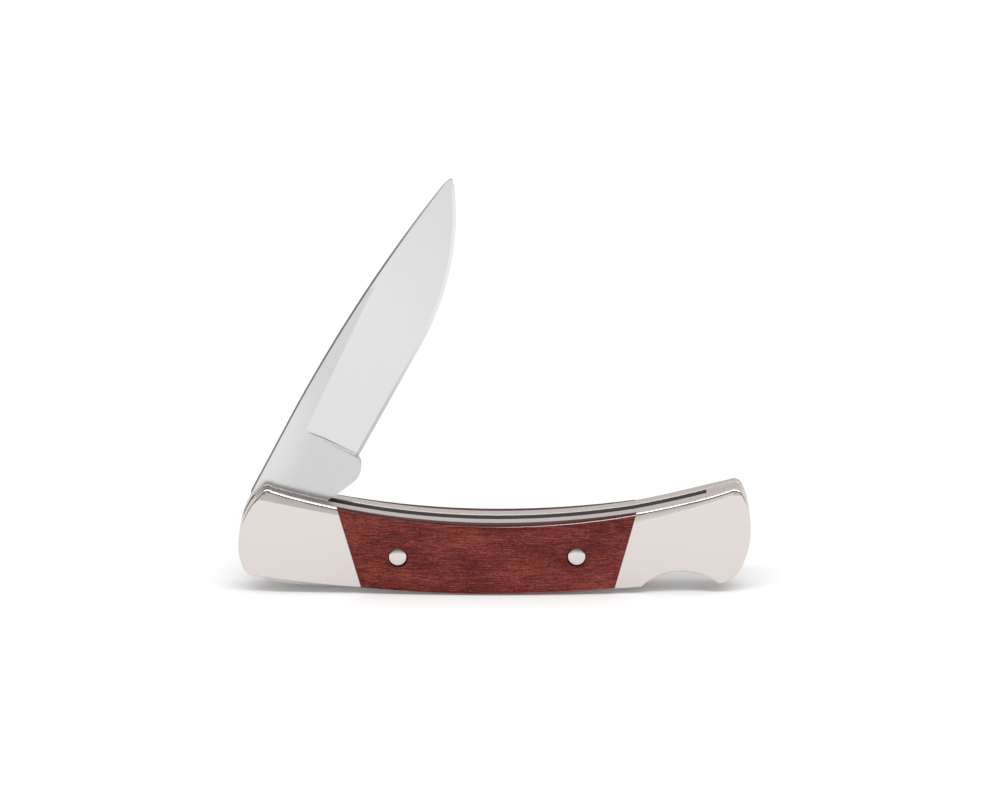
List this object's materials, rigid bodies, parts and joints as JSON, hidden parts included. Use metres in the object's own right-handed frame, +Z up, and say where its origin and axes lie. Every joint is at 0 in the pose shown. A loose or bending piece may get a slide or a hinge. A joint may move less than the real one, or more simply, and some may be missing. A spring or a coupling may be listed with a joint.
{
  "type": "folding pocket knife",
  "caption": "Folding lockback pocket knife with a hollow-ground drop-point blade, polished nickel bolsters and red-brown wood scales, half open and standing on its spine.",
  "frame": {"origin": "middle of the handle's length and thickness, on the floor under the spine", "axes": "+X along the handle from the pivot end to the butt, +Y across it to the mark side (the side with the nail nick), +Z up from the spine to the blade slot"},
  "size_m": [0.0957, 0.012, 0.079],
  "materials": {
    "liner_nickel": "nickel silver, edges brushed",
    "bolster_nickel": "nickel silver, mirror polished",
    "scale_wood": "red-brown laminated hardwood, satin polish",
    "scale_pin_nickel": "nickel silver, domed and polished",
    "pin_steel": "ground steel",
    "rivet_nickel": "nickel silver, peened",
    "spacer_nickel": "nickel silver, edges brushed",
    "spring_steel": "hardened spring steel",
    "bar_steel": "satin steel",
    "blade_steel": "satin stainless steel, hollow ground"
  },
  "bodies": {
    "handle": {"pile_liner": "liner_nickel", "mark_liner": "liner_nickel", "pile_front_bolster": "bolster_nickel", "pile_rear_bolster": "bolster_nickel", "mark_front_bolster": "bolster_nickel", "mark_rear_bolster": "bolster_nickel", "pile_scale": "scale_wood", "mark_scale": "scale_wood", "pile_scale_pin_front": "scale_pin_nickel", "pile_scale_pin_rear": "scale_pin_nickel", "mark_scale_pin_front": "scale_pin_nickel", "mark_scale_pin_rear": "scale_pin_nickel", "pivot_pin": "pin_steel", "rocker_pin": "pin_steel", "butt_rivet_upper": "rivet_nickel", "butt_rivet_lower": "rivet_nickel", "butt_spacer": "spacer_nickel", "lock_spring": "spring_steel"},
    "blade": {"blade": "blade_steel"},
    "lock_bar": {"lock_bar": "bar_steel"}
  },
  "joints": [
    {"name": "blade_swing", "type": "hinge", "parent": "handle", "child": "blade", "pos_m": [-0.03886, 0, 0.01202], "axis": [0, -1, 0], "range_deg": [-62.5, 108.2]},
    {"name": "lock_rock", "type": "hinge", "parent": "handle", "child": "lock_bar", "pos_m": [-0.003, 0, 0.0029], "axis": [0, -1, 0], "range_deg": [0, 1], "stiffness_Nm_per_rad": 0.15, "springref_deg": -8.59, "deforming": ["lock_spring"]}
  ]
}
